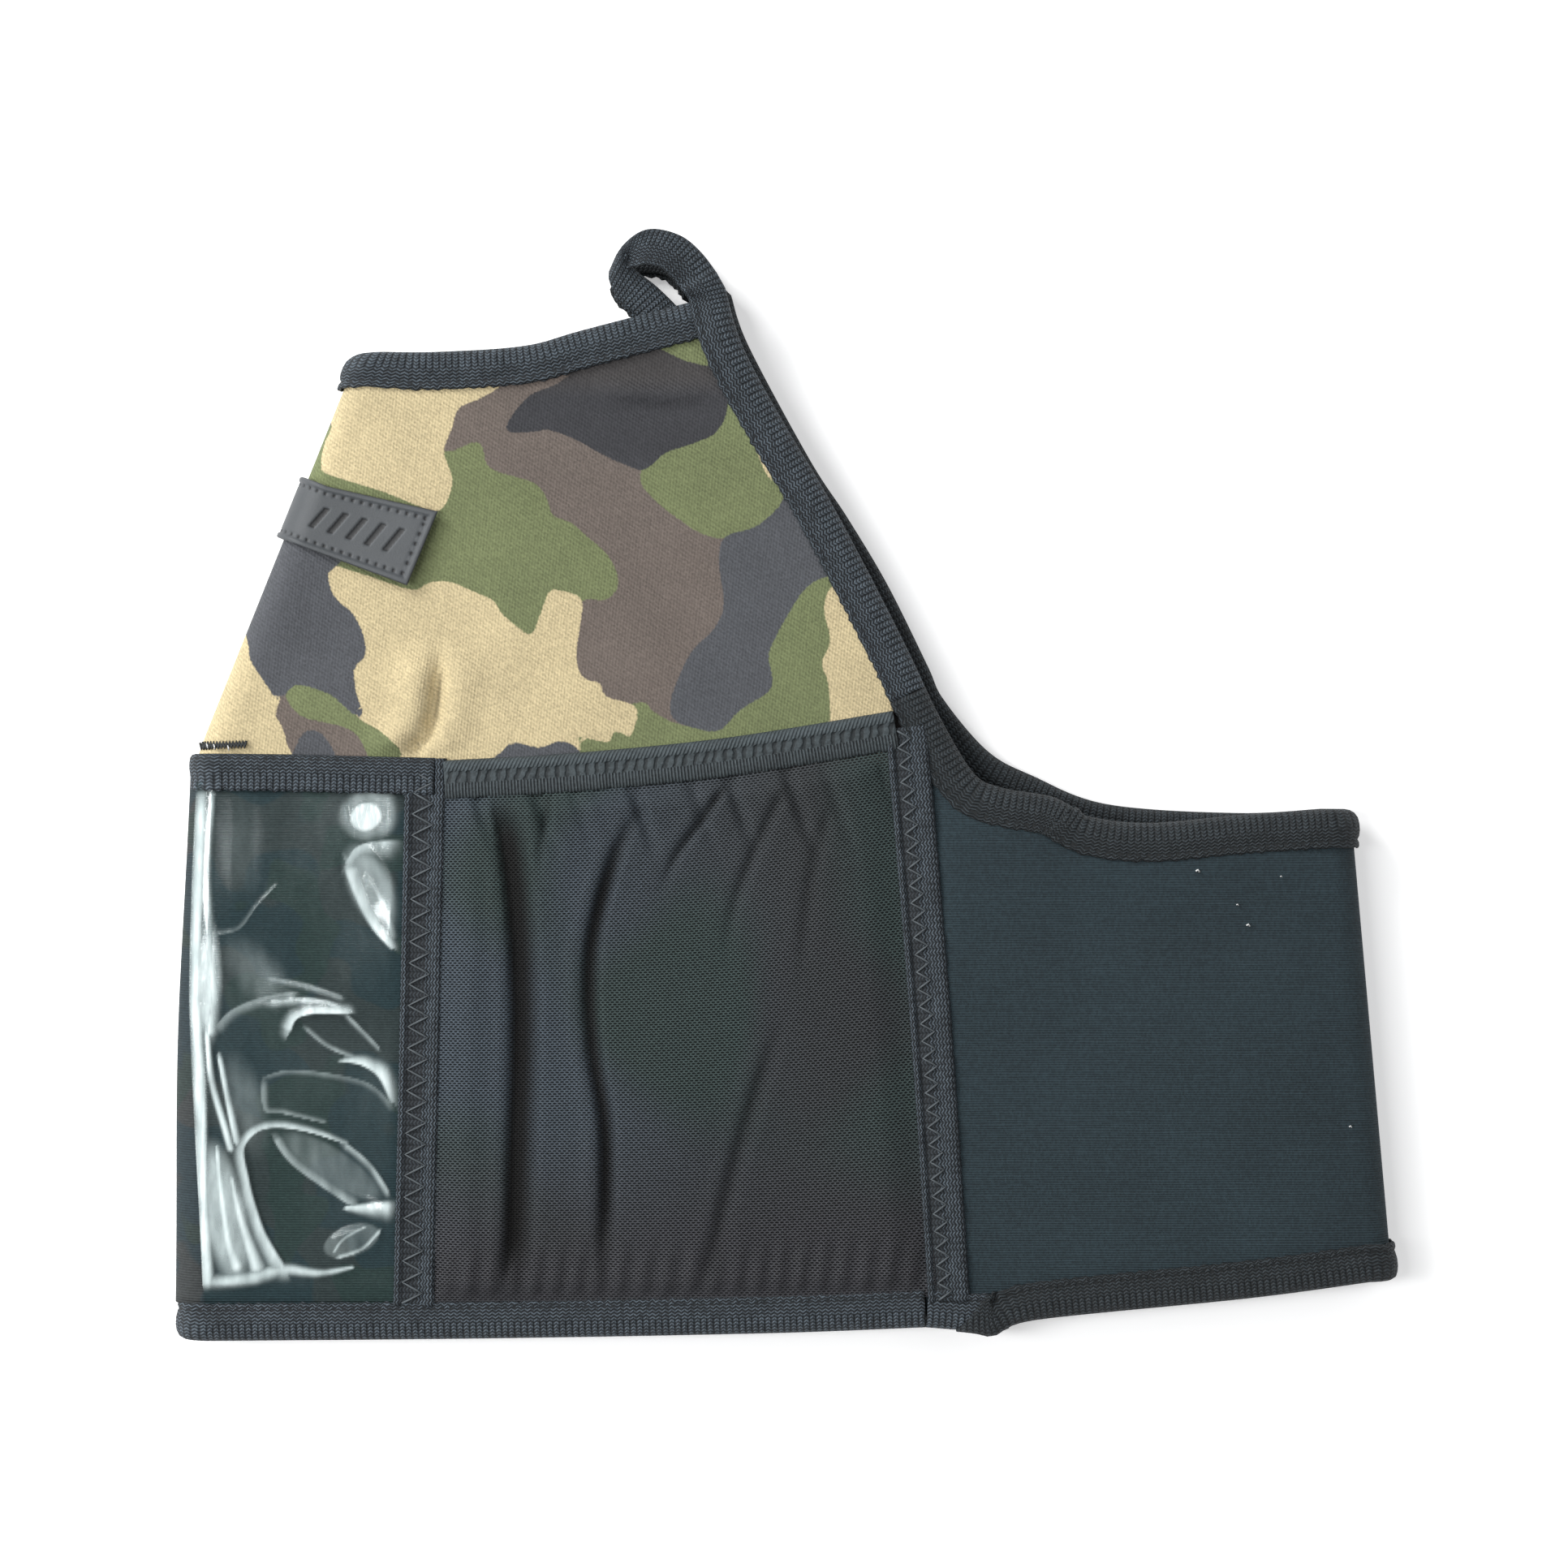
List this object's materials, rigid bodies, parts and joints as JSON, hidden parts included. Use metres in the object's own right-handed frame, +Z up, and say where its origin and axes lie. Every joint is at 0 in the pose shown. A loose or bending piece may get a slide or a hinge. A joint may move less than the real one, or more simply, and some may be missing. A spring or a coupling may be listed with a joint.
{
  "type": "neoprene bottle sleeve",
  "caption": "Folded camouflage neoprene sleeve with clear windows, elastic mesh pockets, bound edges, a rubber label and strap loops.",
  "frame": {"origin": "centre of the box that the folded sleeve fills, at the surface it lies on", "axes": "+X from the front crease towards the back crease, +Y from the bottom rim towards the strap loops, +Z up through the folded layers, towards the near side"},
  "size_m": [0.2888, 0.2605, 0.0204],
  "materials": {
    "camo_neoprene": "matte printed knit over neoprene foam",
    "black_neoprene": "matte fine-ribbed knit over neoprene foam",
    "binding_tape": "matte knitted elastic tape",
    "pocket_mesh": "matte stretch mesh",
    "window_knit": "matte ribbed knit",
    "clear_vinyl": "clear and glossy",
    "label_rubber": "satin moulded rubber"
  },
  "bodies": {
    "far_front": {"front_panel_far": "camo_neoprene", "window_backing_far": "window_knit", "window_far": "clear_vinyl", "window_top_binding_far": "binding_tape", "window_tape_far": "binding_tape", "pocket_elastic_far": "binding_tape", "mesh_pocket_far": "pocket_mesh", "side_tape_far": "binding_tape", "top_binding_far": "binding_tape", "slope_binding_far": "binding_tape", "bottom_binding_front_far": "binding_tape", "label_far": "label_rubber"},
    "far_back": {"back_panel_far": "black_neoprene", "back_top_binding_far": "binding_tape", "bottom_binding_back_far": "binding_tape"},
    "near_front": {"front_panel_near": "camo_neoprene", "window_backing_near": "window_knit", "window_near": "clear_vinyl", "window_top_binding_near": "binding_tape", "window_tape_near": "binding_tape", "pocket_elastic_near": "binding_tape", "mesh_pocket_near": "pocket_mesh", "top_binding_near": "binding_tape", "slope_binding_near": "binding_tape", "bottom_binding_front_near": "binding_tape", "label_near": "label_rubber"},
    "near_back": {"back_panel_near": "black_neoprene", "back_top_binding_near": "binding_tape", "bottom_binding_back_near": "binding_tape"},
    "near_seam_tape": {"side_tape_near": "binding_tape"},
    "near_loop": {"strap_loop_near": "binding_tape"},
    "far_loop": {"strap_loop_far": "binding_tape"}
  },
  "joints": [
    {"name": "front_crease", "type": "hinge", "parent": "far_front", "child": "near_front", "pos_m": [-0.1446, 0, 0.0078], "axis": [0, -1, 0], "range_deg": [0, 38]},
    {"name": "far_seam", "type": "hinge", "parent": "far_front", "child": "far_back", "pos_m": [0.0323, 0, 0.0045], "axis": [0, -1, 0], "range_deg": [0, 49.5]},
    {"name": "back_crease", "type": "hinge", "parent": "far_back", "child": "near_back", "pos_m": [0.1447, 0, 0.0078], "axis": [0, 1, 0], "range_deg": [0, 61]},
    {"name": "near_seam", "type": "hinge", "parent": "near_front", "child": "near_seam_tape", "pos_m": [0.0323, 0, 0.0111], "axis": [0, 1, 0], "range_deg": [0, 49.5]},
    {"name": "near_loop_bend", "type": "hinge", "parent": "near_front", "child": "near_loop", "pos_m": [-0.0215, 0.1132, 0.0148], "axis": [0.6292, 0.7772, 0], "range_deg": [0, 60]},
    {"name": "far_loop_bend", "type": "hinge", "parent": "far_front", "child": "far_loop", "pos_m": [-0.0215, 0.1132, 0.002], "axis": [-0.6292, -0.7772, 0], "range_deg": [0, 60]}
  ],
  "couplings": [
    {"joint": "far_seam", "follows": "front_crease", "ratio": 1.3},
    {"joint": "back_crease", "follows": "front_crease", "ratio": 1.6},
    {"joint": "near_seam", "follows": "front_crease", "ratio": 1.3}
  ]
}
